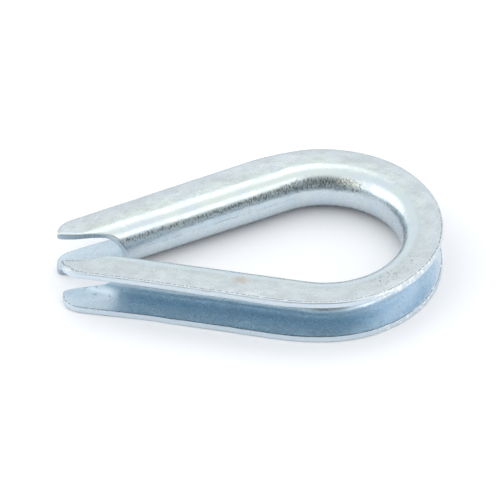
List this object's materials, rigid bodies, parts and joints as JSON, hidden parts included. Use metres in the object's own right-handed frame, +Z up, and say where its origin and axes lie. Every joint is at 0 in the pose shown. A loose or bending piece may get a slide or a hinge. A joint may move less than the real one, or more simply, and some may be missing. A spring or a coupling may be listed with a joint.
{
  "type": "wire rope thimble",
  "caption": "Light pressed-steel thimble: a teardrop-shaped grooved eye that protects a loop of wire rope, with pointed ears at its open end.",
  "frame": {"origin": "middle of the footprint, on the lower flange's flat face that the thimble lies on", "axes": "+X along the teardrop from the open end towards the crown, +Y across it, +Z up through the eye"},
  "size_m": [0.0536, 0.0334, 0.0073],
  "materials": {
    "zinc_plated_steel": "bright blue-white zinc plating over pressed mild steel, semi-gloss, with fine forming marks and scuffed cut edges"
  },
  "bodies": {
    "root": {"thimble": "zinc_plated_steel"}
  },
  "joints": []
}
